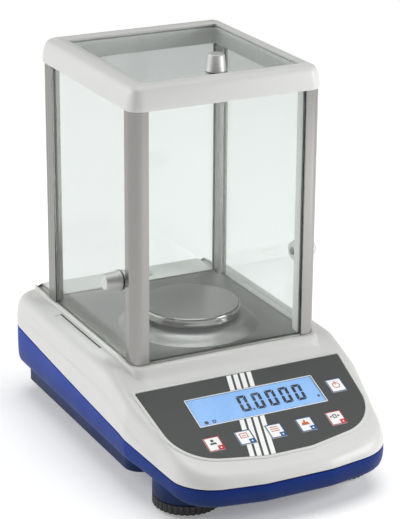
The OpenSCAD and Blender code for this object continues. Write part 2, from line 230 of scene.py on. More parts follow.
def block(x0, x1, y0, y1, z0, z1):
    return prism(oblong(x0, x1, y0, y1), z0, z1)


def rounded(x0, x1, y0, y1, r, step=10):
    """Rectangle with round corners."""
    points = []
    for x, y, a in ((x1 - r, y0 + r, -90), (x1 - r, y1 - r, 0), (x0 + r, y1 - r, 90), (x0 + r, y0 + r, 180)):
        points += arc(x, y, r, a, a + 90, step)
    return points


def lathe(profile, steps=96):
    """Solid turned round Z from (radius, height) points. A profile off the axis closes on itself."""
    turns = [2 * math.pi * k / steps for k in range(steps)]
    verts, faces, rows = [], [], []
    for r, z in profile:
        if r < 1e-6:
            rows.append([len(verts)] * steps)
            verts.append((0, 0, z))
            continue
        rows.append(list(range(len(verts), len(verts) + steps)))
        verts += [(r * math.cos(a), r * math.sin(a), z) for a in turns]
    pairs = list(zip(rows, rows[1:]))
    if profile[0][0] > 1e-6 or profile[-1][0] > 1e-6:
        pairs.append((rows[-1], rows[0]))
    for low, high in pairs:
        for k in range(steps):
            e = (k + 1) % steps
            face = [low[k], low[e], high[e], high[k]]
            face = [v for j, v in enumerate(face) if v != face[j - 1]]
            if len(face) > 2:
                faces.append(tuple(face))
    return verts, faces


def join_prisms(outlines, z0, z1):
    verts, faces = [], []
    for points in outlines:
        shape = prism(points, z0, z1)
        faces += [tuple(i + len(verts) for i in f) for f in shape[1]]
        verts += shape[0]
    return verts, faces


def on_side(points, side):
    """An outline of the right side as it is, or its mirror image for the left."""
    return [(-x, y) for x, y in reversed(points)] if side == "left" else points


def moved(x, y, z=0.0):
    """The deck frame, moved by millimetres."""
    return DECK @ Matrix.Translation((x, y, z))


# ---------------------------------------- objects

def blank(name, shape, place):
    """Object with a shape's mesh, placed in metres and with its faces turned outwards."""
    verts, faces = shape
    mesh = bpy.data.meshes.new(name)
    mesh.from_pydata([place @ Vector(v) for v in verts], [], faces)
    work = bmesh.new()
    work.from_mesh(mesh)
    bmesh.ops.recalc_face_normals(work, faces=work.faces)
    work.to_mesh(mesh)
    work.free()
    obj = bpy.data.objects.new(name, mesh)
    scene.collection.objects.link(obj)
    return obj


def bake(obj):
    """Applies an object's modifiers."""
    graph = bpy.context.evaluated_depsgraph_get()
    mesh = bpy.data.meshes.new_from_object(obj.evaluated_get(graph))
    obj.modifiers.clear()
    obj.data = mesh


def combine(obj, shape, place, how):
    """Adds a shape to an object, or cuts it away."""
    tool = blank("tool", shape, place)
    change = obj.modifiers.new("combine", "BOOLEAN")
    change.operation = how
    change.solver = "EXACT"
    change.object = tool
    bake(obj)
    bpy.data.objects.remove(tool)


def soften(obj, width, angle=40):
    """Rounds an object's edges that are sharper than an angle; width in millimetres."""
    bevel = obj.modifiers.new("soften", "BEVEL")
    bevel.width = width * MM
    bevel.segments = 2
    bevel.limit_method = "ANGLE"
    bevel.angle_limit = math.radians(angle)
    bevel.harden_normals = False


def flatten_shading(obj):
    """Lets an object's large flat faces rule the shading at their rounded edges."""
    even = obj.modifiers.new("even", "WEIGHTED_NORMAL")
    even.keep_sharp = True
    bake(obj)


def settle(obj, look, body="base", slot=None, replaces=(), crease=35):
    """Gives an object its material, shading and body."""
    obj.data.materials.clear()
    obj.data.materials.append(look)
    obj.data.shade_smooth()
    obj.data.set_sharp_from_angle(angle=math.radians(crease))
    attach(obj, body)
    if replaces:
        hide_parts(*replaces)
    return obj


def piece(name, shape, place, look, soft=0.0, **facts):
    """Finished object: its shape, its edges rounded by soft millimetres, its material and its body."""
    obj = blank(name, shape, place)
    if soft:
        soften(obj, soft)
        bake(obj)
    settle(obj, look, **facts)
    if soft:
        flatten_shading(obj)
    return obj


# ---------------------------------------- materials

def start_material(name):
    look = bpy.data.materials.new(name)
    look.use_nodes = True
    tree = look.node_tree
    coords = tree.nodes.new("ShaderNodeTexCoord")
    return look, tree, tree.nodes["Principled BSDF"], coords.outputs["Object"]


def noise(tree, where, scale, detail=3.0, stretch=(1, 1, 1)):
    """Noise value, with its pattern stretched along an axis by a small scale there."""
    mapping = tree.nodes.new("ShaderNodeMapping")
    mapping.inputs["Scale"].default_value = stretch
    tree.links.new(where, mapping.inputs["Vector"])
    node = tree.nodes.new("ShaderNodeTexNoise")
    node.inputs["Scale"].default_value = scale
    node.inputs["Detail"].default_value = detail
    tree.links.new(mapping.outputs["Vector"], node.inputs["Vector"])
    return node.outputs["Fac"]


def between(tree, factor, low, high):
    """Value spread from low to high over the middle of a noise."""
    node = tree.nodes.new("ShaderNodeMapRange")
    for name, value in (("From Min", 0.3), ("From Max", 0.7), ("To Min", low), ("To Max", high)):
        node.inputs[name].default_value = value
    tree.links.new(factor, node.inputs["Value"])
    return node.outputs["Result"]


def tint(tree, factor, dark, light):
    node = tree.nodes.new("ShaderNodeMix")
    node.data_type = "RGBA"
    tree.links.new(factor, node.inputs["Factor"])
    node.inputs["A"].default_value = dark
    node.inputs["B"].default_value = light
    return node.outputs["Result"]


def roughen(tree, shader, height, strength, depth):
    bump = tree.nodes.new("ShaderNodeBump")
    bump.inputs["Strength"].default_value = strength
    bump.inputs["Distance"].default_value = depth * MM
    tree.links.new(height, bump.inputs["Height"])
    tree.links.new(bump.outputs["Normal"], shader.inputs["Normal"])


def surface(name, dark, light, patch, rough, grain, stretch=(1, 1, 1), **sockets):
    """Finish from noise: patches of two near screen colours, an uneven roughness and a fine grain.
    patch is the colour pattern's scale, rough is (low, high), grain is (scale, strength, depth in mm)."""
    look, tree, shader, where = start_material(name)
    patches = noise(tree, where, patch, 4, stretch)
    tree.links.new(tint(tree, patches, rgb(*dark), rgb(*light)), shader.inputs["Base Color"])
    uneven = noise(tree, where, patch * 3, 5, stretch)
    tree.links.new(between(tree, uneven, *rough), shader.inputs["Roughness"])
    roughen(tree, shader, noise(tree, where, grain[0], 3, stretch), grain[1], grain[2])
    for socket, value in sockets.items():
        shader.inputs[socket.replace("_", " ")].default_value = value
    return look


def paint_shade_low(look, low, high, dark):
    """Paints shade into a finish's colour: it grows dark towards the table, from its own colour at high to
    dark at low (in metres).
    """
    tree = look.node_tree
    shader = tree.nodes["Principled BSDF"]
    colour = shader.inputs["Base Color"].links[0].from_socket
    parts = tree.nodes.new("ShaderNodeSeparateXYZ")
    tree.links.new(tree.nodes["Texture Coordinate"].outputs["Object"], parts.inputs["Vector"])
    height = tree.nodes.new("ShaderNodeMapRange")
    height.inputs["From Min"].default_value = low
    height.inputs["From Max"].default_value = high
    tree.links.new(parts.outputs["Z"], height.inputs["Value"])
    node = tree.nodes.new("ShaderNodeMix")
    node.data_type = "RGBA"
    tree.links.new(height.outputs["Result"], node.inputs["Factor"])
    node.inputs["A"].default_value = dark
    tree.links.new(colour, node.inputs["B"])
    tree.links.new(node.outputs["Result"], shader.inputs["Base Color"])


def add_plastics(add):
    """Moulded, printed and rubber finishes."""
    inks = (
        ("white_ink", (240, 241, 240), (247, 248, 247)),
        ("red_ink", (186, 26, 40), (198, 34, 46)),
        ("blue_ink", (18, 84, 138), (26, 94, 150)),
        ("dark_ink", (58, 50, 56), (66, 58, 62)),
        ("orange_ink", (196, 92, 50), (206, 100, 58)),
    )
    for name, dark, light in inks:
        add(name, dark, light, 40, (0.4, 0.48), (3200, 0.05, 0.01))
    add("lcd_ink", (8, 14, 30), (12, 20, 40), 60, (0.4, 0.5), (3000, 0.05, 0.01))
    add("cover_plastic", (209, 209, 207), (214, 214, 212), 9, (0.34, 0.42), (2600, 0.12, 0.04))
    add("base_plastic", (12, 54, 148), (16, 59, 157), 9, (0.4, 0.5), (2600, 0.14, 0.04),
        Specular_IOR_Level=0.15)
    add("film", (70, 72, 72), (75, 77, 77), 14, (0.38, 0.46), (3200, 0.1, 0.02), Specular_IOR_Level=0.3)
    add("black_plastic", (22, 22, 24), (29, 29, 31), 20, (0.42, 0.52), (2400, 0.2, 0.05))
    add("rear_plastic", (52, 53, 55), (60, 61, 63), 20, (0.42, 0.52), (2400, 0.2, 0.05))
    add("rubber", (20, 20, 21), (27, 27, 28), 20, (0.62, 0.74), (1800, 0.25, 0.06))
    add("liner", (206, 206, 203), (212, 212, 209), 30, (0.5, 0.6), (1800, 0.1, 0.02))
    add("gasket", (40, 41, 42), (48, 49, 50), 20, (0.55, 0.65), (1800, 0.15, 0.04))
    add("board", (24, 92, 58), (32, 104, 66), 60, (0.3, 0.4), (1500, 0.1, 0.02))


def add_metals(add):
    """Metal finishes; a small stretch along an axis draws the grain out along it."""

    def metal(*values, share=1.0):
        add(*values, Metallic=share)

    metal("anodised", (144, 143, 141), (152, 151, 149), 30, (0.16, 0.2), (900, 0.12, 0.01), (1, 1, 0.02))
    metal("rail_metal", (200, 200, 196), (208, 208, 204), 30, (0.34, 0.42), (900, 0.1, 0.01), (1, 0.02, 1),
          share=0.9)
    metal("satin_steel", (160, 159, 156), (170, 169, 166), 20, (0.36, 0.42), (1500, 0.12, 0.006),
          (0.03, 1, 1))
    metal("pan_steel", (196, 195, 192), (204, 203, 200), 20, (0.34, 0.4), (1400, 0.08, 0.004), (0.04, 1, 1))
    metal("bright_steel", (146, 145, 143), (154, 153, 151), 30, (0.06, 0.1), (900, 0.03, 0.001))
    metal("ring_steel", (150, 149, 147), (158, 157, 155), 30, (0.34, 0.4), (900, 0.06, 0.003))
    metal("turned_metal", (196, 197, 195), (204, 205, 203), 30, (0.46, 0.54), (1200, 0.08, 0.005),
          (0.05, 0.05, 1), share=0.5)
    metal("cast_metal", (150, 150, 150), (165, 165, 165), 40, (0.45, 0.6), (900, 0.3, 0.08))
    metal("screw_metal", (120, 120, 122), (138, 138, 140), 200, (0.28, 0.36), (2500, 0.15, 0.01))
    metal("brass", (196, 160, 88), (206, 170, 98), 80, (0.26, 0.34), (2500, 0.1, 0.01))


def make_materials():
    looks = {}

    def add(name, *values, **sockets):
        looks[name] = surface(name, *values, **sockets)

    add_plastics(add)
    add_metals(add)
    # painted shade: the blue shell's colour grows dark towards its bottom and skirt, where shade falls under
    # it
    paint_shade_low(looks["base_plastic"], low=0.018, high=0.054, dark=rgb(15, 34, 74))
    looks["pane"] = make_glass("pane", (0.85, 0.875, 0.865, 1), (0.0, 0.012))
    looks["lens"] = make_glass("lens", (0.98, 0.99, 1, 1), (0.02, 0.05))
    looks["level_fluid"] = make_glass("level_fluid", (0.66, 0.86, 0.25, 1), (0.0, 0.02))
    looks["lcd"] = make_lcd()
    return looks


def make_glass(name, colour, rough):
    """Clear pane with a faint tint; its roughness changes a little where it has been wiped."""
    look, tree, shader, where = start_material(name)
    tree.links.new(between(tree, noise(tree, where, 6, 2), *rough), shader.inputs["Roughness"])
    darker = tuple(c * 0.99 for c in colour[:3]) + (1,)
    tree.links.new(tint(tree, noise(tree, where, 4, 2), darker, colour), shader.inputs["Base Color"])
    shader.inputs["Transmission Weight"].default_value = 1.0
    shader.inputs["IOR"].default_value = 1.45
    let_lamps_through(tree, shader, tuple(math.sqrt(c) for c in colour[:3]) + (1,))
    return look


def let_lamps_through(tree, shader, colour):
    """Lets the lamps shine through clear glass, so that what stands behind it is lit."""
    clear = tree.nodes.new("ShaderNodeBsdfTransparent")
    clear.inputs["Color"].default_value = colour
    path = tree.nodes.new("ShaderNodeLightPath")
    mix = tree.nodes.new("ShaderNodeMixShader")
    tree.links.new(path.outputs["Is Shadow Ray"], mix.inputs["Fac"])
    tree.links.new(shader.outputs["BSDF"], mix.inputs[1])
    tree.links.new(clear.outputs["BSDF"], mix.inputs[2])
    tree.links.new(mix.outputs["Shader"], tree.nodes["Material Output"].inputs["Surface"])


def make_lcd():
    """Backlit display: a pale blue glow, a little uneven."""
    look, tree, shader, where = start_material("lcd")
    glow = tint(tree, noise(tree, where, 12, 1), rgb(108, 146, 190), rgb(115, 153, 197))
    tree.links.new(glow, shader.inputs["Base Color"])
    tree.links.new(glow, shader.inputs["Emission Color"])
    shader.inputs["Emission Strength"].default_value = 0.25
    tree.links.new(between(tree, noise(tree, where, 900, 2), 0.4, 0.5), shader.inputs["Roughness"])
    return look


# ---------------------------------------- camera, floor and light

def make_camera():
    """Long lens from the front left, above the object."""
    yaw, pitch, roll = (math.radians(a) for a in AIM)
    ahead = Vector((math.sin(yaw) * math.cos(pitch), math.cos(yaw) * math.cos(pitch), -math.sin(pitch)))
    level = Vector((math.cos(yaw), -math.sin(yaw), 0))
    above = level.cross(ahead)
    right = math.cos(roll) * level + math.sin(roll) * above
    up = math.cos(roll) * above - math.sin(roll) * level
    data = bpy.data.cameras.new("camera")
    data.sensor_width = 36
    data.lens = LENS
    data.clip_end = 50
    camera = bpy.data.objects.new("camera", data)
    scene.collection.objects.link(camera)
    turned = Matrix((right, up, -ahead)).transposed().to_4x4()
    camera.matrix_world = Matrix.Translation(CAMERA_PLACE) @ turned
    scene.camera = camera


def make_floor():
    """Plain white paper, wide enough to reach the horizon, with a faint glow that lightens the shadows."""
    mesh = bpy.data.meshes.new("floor")
    corners = [(x, y, 0) for x, y in oblong(-FLOOR_SIZE, FLOOR_SIZE, -FLOOR_SIZE, FLOOR_SIZE)]
    mesh.from_pydata(corners, [], [(0, 1, 2, 3)])
    floor = bpy.data.objects.new("floor", mesh)
    scene.collection.objects.link(floor)
    paper = surface("paper", (246, 246, 246), (248, 248, 248), 3, (0.8, 0.9), (60, 0.02, 0.1),
                    Emission_Color=(1, 1, 1, 1), Emission_Strength=FLOOR_GLOW)
    mesh.materials.append(paper)


def area_light(name, place, target, size, power):
    """Softbox that points at a target."""
    data = bpy.data.lights.new(name, "AREA")
    data.shape = "RECTANGLE"
    data.size, data.size_y = size
    data.energy = power
    hang(name, data, place, target)


def broad_light(name, place, target, spread, strength):
    """Even light from one side, with soft shadows; spread is its width in degrees."""
    data = bpy.data.lights.new(name, "SUN")
    data.angle = math.radians(spread)
    data.energy = strength
    hang(name, data, place, target)


def hang(name, data, place, target):
    """Puts a light in its place and turns it towards its target."""
    light = bpy.data.objects.new(name, data)
    scene.collection.objects.link(light)
    light.location = place
    light.rotation_mode = "QUATERNION"
    light.rotation_quaternion = (Vector(target) - Vector(place)).to_track_quat("-Z", "Y")


def maths(tree, operation, first, second):
    """Result of a sum on a socket and a number, or on two sockets."""
    node = tree.nodes.new("ShaderNodeMath")
    node.operation = operation
    tree.links.new(first, node.inputs[0])
    if isinstance(second, float):
        node.inputs[1].default_value = second
    else:
        tree.links.new(second, node.inputs[1])
    return node.outputs["Value"]


def make_world():
    """Soft studio surroundings: a pale wall behind on the left, a fainter one in front on the right, darker
    between them and overhead. Straight from the camera they are plain white."""
    world = bpy.data.worlds.new("studio")
    scene.world = world
    world.use_nodes = True
    tree = world.node_tree
    background = tree.nodes["Background"]
    background.inputs["Color"].default_value = (1, 1, 1, 1)
    coords = tree.nodes.new("ShaderNodeTexCoord")
    side = tree.nodes.new("ShaderNodeVectorMath")
    side.operation = "DOT_PRODUCT"
    side.inputs[1].default_value = PALE_SIDE
    tree.links.new(coords.outputs["Generated"], side.inputs[0])
    front = maths(tree, "MULTIPLY", side.outputs["Value"], -OPPOSITE)
    walls = tree.nodes.new("ShaderNodeMapRange")
    walls.interpolation_type = "SMOOTHSTEP"
    spread = (("From Min", 0.45), ("From Max", 0.95), ("To Min", WORLD_DARK), ("To Max", WORLD_LIGHT))
    for name, value in spread:
        walls.inputs[name].default_value = value
    tree.links.new(maths(tree, "MAXIMUM", side.outputs["Value"], front), walls.inputs["Value"])
    height = tree.nodes.new("ShaderNodeSeparateXYZ")
    tree.links.new(coords.outputs["Generated"], height.inputs["Vector"])
    fade = tree.nodes.new("ShaderNodeMapRange")
    fade.inputs["To Min"].default_value = 1.0
    fade.inputs["To Max"].default_value = WORLD_ZENITH
    tree.links.new(height.outputs["Z"], fade.inputs["Value"])
    glow = maths(tree, "MULTIPLY", walls.outputs["Result"], fade.outputs["Result"])
    path = tree.nodes.new("ShaderNodeLightPath")
    backdrop = tree.nodes.new("ShaderNodeMix")
    tree.links.new(path.outputs["Is Camera Ray"], backdrop.inputs["Factor"])
    tree.links.new(glow, backdrop.inputs["A"])
    backdrop.inputs["B"].default_value = 1.0
    tree.links.new(backdrop.outputs["Result"], background.inputs["Strength"])


def make_lights():
    middle = (0, 0, 0.15)
    broad_light("overhead", (0.15, 0.12, 2.0), middle, 50, 1.72)
    broad_light("left", (-1.8, 1.0, 0.95), middle, 60, 1.85)
    area_light("front_right", (0.75, -0.62, 0.5), (0.12, -0.12, 0.15), (0.4, 0.4), 6.0)


# ---------------------------------------- housing

def cover_columns(form, edge_gap, count):
    """Rings down the cover's rounded side to the seam, and the inset where each column meets the seam."""
    profile = smooth_path(SHOULDER, 5)
    path = np.stack([form.ring(inset, top) - (0, 0, drop) for inset, drop in profile])
    n = path.shape[1]
    rings = np.zeros((count, n, 3))
    insets = np.zeros(n)
    for k in range(n):
        column = path[:, k]
        above = column[:, 2] - along(SEAM, column[:, 1]) - edge_gap
        cut = int(np.argmax(above < 0))
        share = above[cut - 1] / (above[cut - 1] - above[cut])
        column = np.vstack([column[:cut], column[cut - 1] + (column[cut] - column[cut - 1]) * share])
        insets[k] = np.interp(share, (0, 1), profile[cut - 1 : cut + 1, 0])
        length = np.concatenate([[0], np.cumsum(np.linalg.norm(np.diff(column, axis=0), axis=1))])
        steps = np.linspace(0, length[-1], count)
        rings[:, k] = np.column_stack([np.interp(steps, length, column[:, a]) for a in range(3)])
    return rings, insets


def seam_ring(form, inset, lift):
    """Ring along the seam, raised by lift."""
    plan = form.at(inset)
    return np.column_stack([plan, along(SEAM, plan[:, 1]) + lift])


def cover_outside(form):
    """Outside of the upper shell, closed across the seam with a rounded edge, and its insets at the seam."""
    rings, insets = cover_columns(form, 0.9, 26)
    edge = ((3, 0), (1.0, 0), (0.45, 0.12), (0.12, 0.42))
    low = [seam_ring(form, insets + inset, lift) for inset, lift in edge]
    return loft(low + list(rings[::-1])), insets


def cover_inside():
    """Hollow of the upper shell, one wall in from its outside."""
    form = Form(BODY, step=9.0, pieces=6)
    rings = [form.ring(WALL, -95)]
    for inset, drop in SHOULDER[-2::-1]:
        rings.append(form.ring(inset + WALL, top) - (0, 0, drop + WALL))
    return loft(rings)


def deck_rings(inset, drop):
    """Raised deck with a flared foot at the front: (front edge, height, inset) from the foot up."""
    layers = [(-87, -14.5, 0), (-83.5, -10.9, 0), (-81, -9.75, 0), (-79, -8.75, 0), (-77.3, -7.55, 0),
              (-75.8, -6.1, 0), (-74.6, -4.55, 0), (-73.5, -3.1, 0), (-72.6, -2.0, 0.05), (-71.9, -1.15, 0.2),
              (-71.2, -0.5, 0.5), (-70.5, -0.12, 0.95), (-69.6, 0, 1.6)]
    rings = []
    for front, height, back in layers:
        form = Form([(74.5, front + 10, 10), (74.5, 128.5, 10)], step=6)
        rings.append(form.ring(inset + back, height - drop))
    return loft(rings)


def film_form():
    return Form(FILM, step=3.0)


def key_openings(gap):
    """Blocks that leave a gap round each key, in the panel frame."""
    a, b = KEY_SIZE[0] / 2 + gap, KEY_SIZE[1] / 2 + gap
    return [block(u - a, u + a, v - b, v + b, -9, 5) for u, v in KEYS.values()]


def window_opening(gap):
    """Block that leaves a gap round the display window, in the panel frame."""
    u0, u1, v0, v1 = WINDOW
    return block(u0 - gap, u1 + gap, v0 - gap, v1 + gap, -9, 5)


def bead_shape():
    """Thin raised lip round the film's seat: (distance outside the film, height over the panel)."""
    form = film_form()
    section = [(0.05, -1.4), (0.05, 0.02), (0.2, 0.26), (0.5, 0.36), (0.9, 0.34), (1.4, 0.2), (1.9, 0.05),
               (2.5, -0.3), (2.5, -1.4)]
    return closed_loop([form.ring(-out, height) for out, height in section])


def make_cover(looks):
    """Upper shell with the deck and the panel. Gives back its insets at the seam, for the lower shell."""
    outside, insets = cover_outside(Form(BODY, step=3.0, pieces=24))
    obj = blank("cover_shell", outside, DECK)
    combine(obj, deck_rings(0, 0), DECK, "UNION")
    combine(obj, bead_shape(), PANEL, "UNION")
    combine(obj, cover_inside(), DECK, "DIFFERENCE")
    combine(obj, deck_rings(WALL, WALL), DECK, "DIFFERENCE")
    film = film_form()
    combine(obj, loft([film.ring(-0.04, -0.8), film.ring(-0.04, 4)]), PANEL, "DIFFERENCE")
    for shape in (window_opening(3.5), *key_openings(0.4)):
        combine(obj, shape, PANEL, "DIFFERENCE")
    for shape in deck_cuts():
        combine(obj, shape, DECK, "DIFFERENCE")
    settle(obj, looks["cover_plastic"], slot="housing_white", replaces=["upper_housing"], crease=32)
    return insets


def deck_cuts():
    """Openings in the deck for the pan, the level and the door tracks, and the recesses beside the tracks."""
    level = arc(12.7, 122, 8.6, 0, 352.5, 7.5)
    cuts = [lathe([(0, -12), (16, -12), (16, 3), (0, 3)], 64), prism(level, -12, 3)]
    for s in (-1, 1):
        x = s * DOOR_X
        cuts.append(block(x - 3.35, x + 3.35, -52, 145, -2.4, 5))
        cuts.append(block(x - 2.5, x + 2.5, -56.5, -51, -2.3, 5))
        cuts.append(prism(rounded(s * 89 - 3.5, s * 89 + 3.5, -13, 69, 1), -3.6, 5))
    return cuts


def tub_ring(form, height, seam_insets, inset, lift):
    """Ring of the lower shell at a height over its bottom, in millimetres up to the end of the rounded foot.
    What a height has above that is tenths of the way from there to the rim."""
    foot = 8.5
    steps, insets = [0, 0.3, 0.8, 1.4, 2.4, 4, 6, foot, 12], [5, 4.0, 3.1, 2.4, 1.55, 0.9, 0.45, 0.2, 0]
    y = form.edge[:, 1]
    base = along(BASE, y) + lift
    rim = along(SEAM, y) - SEAM_GAP
    z = base + height if height <= foot else base + foot + (rim - base - foot) * (height - foot) / 10
    side = np.interp(height, steps, insets)
    nose = seam_insets * np.clip(1 - (rim - z) / 8, 0, 1) ** 2
    return np.column_stack([form.at(side + nose + inset), z])


def tub_outside(seam_insets):
    form = Form(BODY, step=3.0, pieces=24)
    heights = [0, 0.3, 0.8, 1.4, 2.4, 4, 6, 8.5, 10, 12, 14, 15.5, 17, 17.8]
    rings = [tub_ring(form, h, seam_insets, 0, 0) for h in heights]
    rim = along(SEAM, form.edge[:, 1]) - SEAM_GAP
    for inset, drop in ((0.02, 0.7), (0.2, 0.25), (0.6, 0.02), (WALL, 0)):
        rings.append(np.column_stack([form.at(seam_insets + inset), rim - drop]))
    return loft(rings)


def tub_inside():
    form = Form(BODY, step=9.0, pieces=6)
    level = np.zeros(len(form.edge))
    return loft([tub_ring(form, h, level, WALL, WALL) for h in (0, 1.4, 4, 8.5)] + [form.ring(3.2, -10)])


def make_tub(looks, seam_insets):
    """Lower shell with its skirt, foot bosses, screw holes and the opening for the connectors."""
    obj = blank("base_shell", tub_outside(seam_insets), DECK)
    combine(obj, prism(rounded(-96, 96, -92, 128, 14, 6), -79, -61), DECK, "UNION")
    front_boss = lathe([(0, -82), (25.8, -82), (26.6, -81.7), (27, -81), (27, -61), (0, -61)])
    front_bore = lathe([(0, -90), (6, -90), (6, -66), (0, -66)], 48)
    rear_boss = lathe([(0, -84), (14.4, -84), (15, -83.4), (15, -63), (0, -63)], 64)
    for s in (-1, 1):
        combine(obj, front_boss, moved(s * FRONT_FOOT[0], FRONT_FOOT[1]), "UNION")
    combine(obj, tub_inside(), DECK, "DIFFERENCE")
    combine(obj, prism(rounded(-93, 93, -89, 125, 11, 6), -90, -64.5), DECK, "DIFFERENCE")
    for s in (-1, 1):
        combine(obj, front_bore, moved(s * FRONT_FOOT[0], FRONT_FOOT[1]), "DIFFERENCE")
        combine(obj, rear_boss, moved(s * REAR_FOOT[0], REAR_FOOT[1]), "UNION")
        for x, y, z in ((84, 118, -60), (85, -62, -60), (30, -166, -70.2)):
            hole = lathe([(0, -20), (3.4, -20), (3.4, -1), (0, -1)], 32)
            combine(obj, hole, moved(s * x, y, z), "DIFFERENCE")
    combine(obj, block(-52, 52, 130, 150, -57, -35), DECK, "DIFFERENCE")
    settle(obj, looks["base_plastic"], slot="housing_blue", replaces=["lower_housing"], crease=32)


# ---------------------------------------- panel

def make_film(looks):
    form = film_form()
    obj = blank("panel_film", loft([form.ring(0, -0.8), form.ring(0, -0.28), form.ring(0.1, -0.2)]), PANEL)
    combine(obj, window_opening(0), PANEL, "DIFFERENCE")
    a, b = KEY_SIZE[0] / 2 + 0.3, KEY_SIZE[1] / 2 + 0.3
    for u, v in KEYS.values():
        combine(obj, prism(rounded(u - a, u + a, v - b, v + b, 0.6), -2, 2), PANEL, "DIFFERENCE")
    settle(obj, looks["film"], slot="membrane_grey", replaces=["overlay"])


def make_stripes(looks):
    """Plain leaning stripes of one width across the film, broken by the window and the keys."""
    form = film_form()
    lean, width, pitch, first = 0.249, 4.0, 6.0, -22.2
    for k in range(4):
        left = first + pitch * k
        corners = ((left, -50), (left, 50), (left + width, 50), (left + width, -50))
        obj = blank(f"stripe_{k + 1}", prism([(u + lean * v, v) for u, v in corners], -0.2, -0.16), PANEL)
        combine(obj, loft([form.ring(0.5, -2), form.ring(0.5, 2)]), PANEL, "INTERSECT")
        for shape in (window_opening(1.2), *key_openings(0.35)):
            combine(obj, shape, PANEL, "DIFFERENCE")
        settle(obj, looks["white_ink"], slot="membrane_grey")


def frame_shape(x0, x1, y0, y1, r, width, z0, z1):
    """Flat frame with round corners."""
    outer = rounded(x0, x1, y0, y1, r)
    inner = rounded(x0 + width, x1 - width, y0 + width, y1 - width, max(r - width, 0.05))
    n = len(outer)
    verts = [(x, y, z) for z in (z0, z1) for loop in (outer, inner) for x, y in loop]
    faces = []
    for k in range(n):
        e = (k + 1) % n
        faces += [(k, e, n + e, n + k), (2 * n + k, 3 * n + k, 3 * n + e, 2 * n + e)]
        faces += [(k, 2 * n + k, 2 * n + e, e), (n + k, n + e, 3 * n + e, 3 * n + k)]
    return verts, faces


def zero_segments(width, height, thick, gap):
    """The six segments that a zero lights on the display."""
    half, middle = thick / 2, height / 2
    notch = middle + 0.6 * half + gap
    bar = [(gap + 0.3 * half, height), (width - gap - 0.3 * half, height), (width - thick, height - thick),
           (thick, height - thick)]
    left = [(0, height - gap - 0.3 * half), (thick, height - thick - gap), (thick, notch),
            (half, middle + gap), (0, notch)]
    upper = [bar, left, [(width - x, y) for x, y in left]]
    return upper + [[(x, height - y) for x, y in points] for points in upper]


def make_display(looks):
    """Backlit display that reads zero, with a decimal point, a small dot, a ring and a unit mark."""
    u0, u1, v0, v1 = WINDOW
    face = block(u0 - 1.5, u1 + 1.5, v0 - 1.5, v1 + 1.5, -1.2, -1.04)
    piece("display_face", face, PANEL, looks["lcd"], slot="display_blue")
    lean, floor, ink = 0.065, 4.0, (-1.06, -0.98)
    marks = []
    for start in (-15.5, -2.6, 9.7, 21.9, 33.9):
        for points in zero_segments(8.3, 17.6, 2.6, 0.18):
            marks.append([(start + x + lean * y, floor + y) for x, y in points])
    for x, y, r in ((-5.3, floor + 0.9, 0.95), (-49.2, 0.9, 1.8)):
        marks.append(arc(x, y, r, 0, 337.5, 22.5))
    marks.append(rounded(51.8, 53.8, 3.9, 6.1, 0.6))
    piece("display_digits", join_prisms(marks, *ink), PANEL, looks["lcd_ink"], slot="display_blue")
    ring_shape = frame_shape(-44.3, -40.9, -0.8, 2.6, 1.6, 0.9, *ink)
    piece("display_ring", ring_shape, PANEL, looks["lcd_ink"], slot="display_blue")
    border = frame_shape(u0 - 0.75, u1 + 0.75, v0 - 0.75, v1 + 0.75, 0.9, 0.7, -0.21, -0.12)
    piece("display_border", border, PANEL, looks["white_ink"], slot="membrane_grey")
    settle(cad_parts["display_lens"], looks["lens"])


def mark_shapes(key):
    """Plain symbols on the keys, in millimetres from the key's middle: lists of outlines."""
    symbols = {
        "menu": [oblong(-3.6, 3.6, y, y + 0.8) for y in (-0.2, 1.9, 4.0)],
        "print": [oblong(-3.4, 3.4, 4.2, 4.9), oblong(-3.4, -2.7, 0.4, 4.2), oblong(2.7, 3.4, 0.4, 4.2),
                  oblong(-3.4, 3.4, -0.3, 0.4), oblong(-1.8, 1.8, 1.9, 2.6)],
        "cal": [[(-3.6, -0.4), (3.6, -0.4), (2.4, 2.6), (-2.4, 2.6)], arc(0, 3.7, 1.1, 0, 330, 30)],
        "tare": [[(-4.6, 2.2), (-2.6, 0.9), (-2.6, 3.5)], [(4.6, 2.2), (2.6, 3.5), (2.6, 0.9)],
                 oblong(-1.6, -0.8, 0.2, 4.2), oblong(0.8, 1.6, 0.2, 4.2), oblong(-0.8, 0.8, 3.4, 4.2),
                 oblong(-0.8, 0.8, 0.2, 1.0)],
        "user": [arc(0, 3.6, 1.4, 0, 330, 30), [(-3.0, -0.4), (3.0, -0.4), (2.2, 1.5), (-2.2, 1.5)]],
    }
    return [[(x - 0.4, y - 0.2) for x, y in points] for points in symbols[key]]


